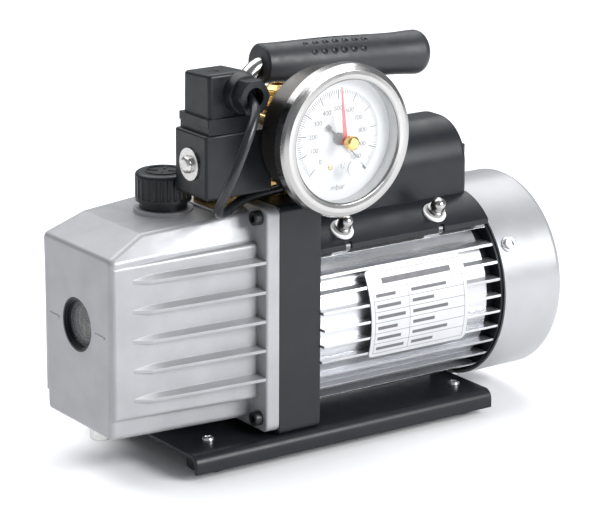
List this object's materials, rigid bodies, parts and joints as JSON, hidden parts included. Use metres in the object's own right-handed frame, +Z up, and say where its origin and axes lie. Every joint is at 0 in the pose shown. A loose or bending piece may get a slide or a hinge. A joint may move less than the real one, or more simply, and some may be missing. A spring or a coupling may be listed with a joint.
{
  "type": "rotary vane vacuum pump",
  "caption": "Two-stage oil-sealed rotary vane vacuum pump with finned motor, fan cowl, cast oil tank, solenoid inlet valve, dial gauge and carrying handle.",
  "frame": {"origin": "on the floor under the middle of the pump's outline", "axes": "+Z up, +X along the shaft from the oil tank towards the fan cowl, the gauge faces -Y"},
  "size_m": [0.3185, 0.15, 0.2384],
  "materials": {
    "black_enamel": "satin black enamel",
    "black_rubber": "matt black",
    "bright_screw": "zinc plated",
    "dark_screw": "black oxide",
    "cast_silver": "silver painted casting",
    "gasket_sheet": "dark sheet",
    "clear_glass": "clear",
    "brass": "machined",
    "black_plastic": "moulded black",
    "steel": "machined",
    "cast_iron": "ground",
    "vane_plastic": "dark composite",
    "extruded_aluminium": "bare extrusion",
    "lamination_steel": "varnished",
    "silver_paint": "satin silver",
    "chrome": "polished",
    "nylon": "white",
    "white_plastic": "white",
    "red_plastic": "red",
    "plate_foil": "matt printed foil",
    "cable_pvc": "black sheath",
    "dial_white": "white with black scale",
    "needle_black": "black"
  },
  "bodies": {
    "pump": {"base_plate": "black_enamel", "rubber_feet": "black_rubber", "foot_screws": "bright_screw", "machine_bolts": "dark_screw", "frame_casting": "black_enamel", "oil_tank": "cast_silver", "tank_gasket": "gasket_sheet", "tank_screws": "dark_screw", "sight_glass_ring": "black_enamel", "sight_glass": "clear_glass", "oil_metering_valve": "brass", "oil_filler_neck": "black_plastic", "first_stage_stator": "cast_iron", "second_stage_stator": "cast_iron", "stage_plates": "cast_iron", "shaft_seal": "black_rubber", "motor_housing": "extruded_aluminium", "end_shields": "black_enamel", "motor_stator": "lamination_steel", "bearing_outer_rings": "steel", "fan_cowl": "silver_paint", "cowl_screws": "bright_screw", "capacitor_cover": "black_enamel", "cover_nuts": "chrome", "cover_washers": "nylon", "run_capacitor": "white_plastic", "power_inlet": "black_plastic", "switch_frame": "black_plastic", "name_plate": "plate_foil", "handle_rod": "chrome", "handle_grip": "black_rubber", "inlet_valve_body": "brass", "solenoid_coil": "black_plastic", "armature_tube": "steel", "din_connector": "black_plastic", "valve_cable": "cable_pvc", "gauge_case": "steel", "gauge_bezel": "chrome", "gauge_lens": "clear_glass", "gauge_dial": "dial_white", "gauge_movement": "brass"},
    "rotor": {"pump_rotor": "steel", "vanes": "vane_plastic", "shaft_coupling": "steel", "motor_rotor": "steel", "bearing_inner_rings": "steel", "cooling_fan": "black_plastic"},
    "ball_cages": {"bearing_cages": "steel"},
    "exhaust_flaps": {"exhaust_leaves": "steel"},
    "filler_seal": {"filler_cap_seal": "black_rubber"},
    "filler_cap": {"oil_filler_cap": "black_plastic"},
    "plug_seal": {"drain_seal": "black_rubber"},
    "drain": {"drain_plug": "steel"},
    "port_gasket": {"inlet_cap_gasket": "black_rubber"},
    "port_cap": {"inlet_cap": "brass"},
    "plunger": {"solenoid_plunger": "steel", "plunger_spring": "steel"},
    "needle": {"gauge_needle": "needle_black"},
    "set_hand": {"set_pointer": "red_plastic"},
    "rocker": {"switch_rocker": "red_plastic"}
  },
  "joints": [
    {"name": "shaft_spin", "type": "hinge", "parent": "pump", "child": "rotor", "pos_m": [-0.039, 0.013, 0.0732], "axis": [1, 0, 0], "continuous": true},
    {"name": "cage_spin", "type": "hinge", "parent": "pump", "child": "ball_cages", "pos_m": [-0.021, 0.013, 0.0732], "axis": [1, 0, 0], "continuous": true},
    {"name": "leaf_lift", "type": "hinge", "parent": "pump", "child": "exhaust_flaps", "pos_m": [-0.109, 0.011, 0.1062], "axis": [1, 0, 0], "range_deg": [0, 8], "stiffness_Nm_per_rad": 0.02},
    {"name": "filler_seal_rise", "type": "slide", "parent": "pump", "child": "filler_seal", "axis": [0, 0, 1], "range_m": [0, 0.012]},
    {"name": "filler_cap_turn", "type": "hinge", "parent": "filler_seal", "child": "filler_cap", "pos_m": [-0.1, 0.013, 0.15], "axis": [0, 0, 1], "range_deg": [0, 1440]},
    {"name": "drain_seal_drop", "type": "slide", "parent": "pump", "child": "plug_seal", "axis": [0, 0, -1], "range_m": [0, 0.012]},
    {"name": "drain_plug_turn", "type": "hinge", "parent": "plug_seal", "child": "drain", "pos_m": [-0.144, 0.013, 0.022], "axis": [0, 0, -1], "range_deg": [0, 2160]},
    {"name": "port_gasket_back", "type": "slide", "parent": "pump", "child": "port_gasket", "axis": [0, 1, 0], "range_m": [0, 0.012]},
    {"name": "port_cap_turn", "type": "hinge", "parent": "port_gasket", "child": "port_cap", "pos_m": [-0.03, 0.013, 0.186], "axis": [0, 1, 0], "range_deg": [0, 2160]},
    {"name": "plunger_stroke", "type": "slide", "parent": "pump", "child": "plunger", "axis": [-1, 0, 0], "range_m": [0, 0.0015], "stiffness_N_per_m": 800, "springref_m": -0.002, "deforming": ["plunger_spring"]},
    {"name": "needle_turn", "type": "hinge", "parent": "pump", "child": "needle", "pos_m": [-0.028, -0.057, 0.194], "axis": [0, -1, 0], "range_deg": [0, 270]},
    {"name": "set_hand_turn", "type": "hinge", "parent": "pump", "child": "set_hand", "pos_m": [-0.028, -0.062, 0.194], "axis": [0, -1, 0], "range_deg": [-135, 135]},
    {"name": "rocker_tilt", "type": "hinge", "parent": "pump", "child": "rocker", "pos_m": [0.0963, 0.029, 0.152], "axis": [0, -1, 0], "range_deg": [0, 20]}
  ],
  "couplings": [
    {"joint": "cage_spin", "follows": "shaft_spin", "ratio": 0.38},
    {"joint": "filler_cap_turn", "follows": "filler_seal_rise", "rad_per_m": 2094.2},
    {"joint": "drain_plug_turn", "follows": "drain_seal_drop", "rad_per_m": 3141.3},
    {"joint": "port_cap_turn", "follows": "port_gasket_back", "rad_per_m": 3141.3}
  ]
}
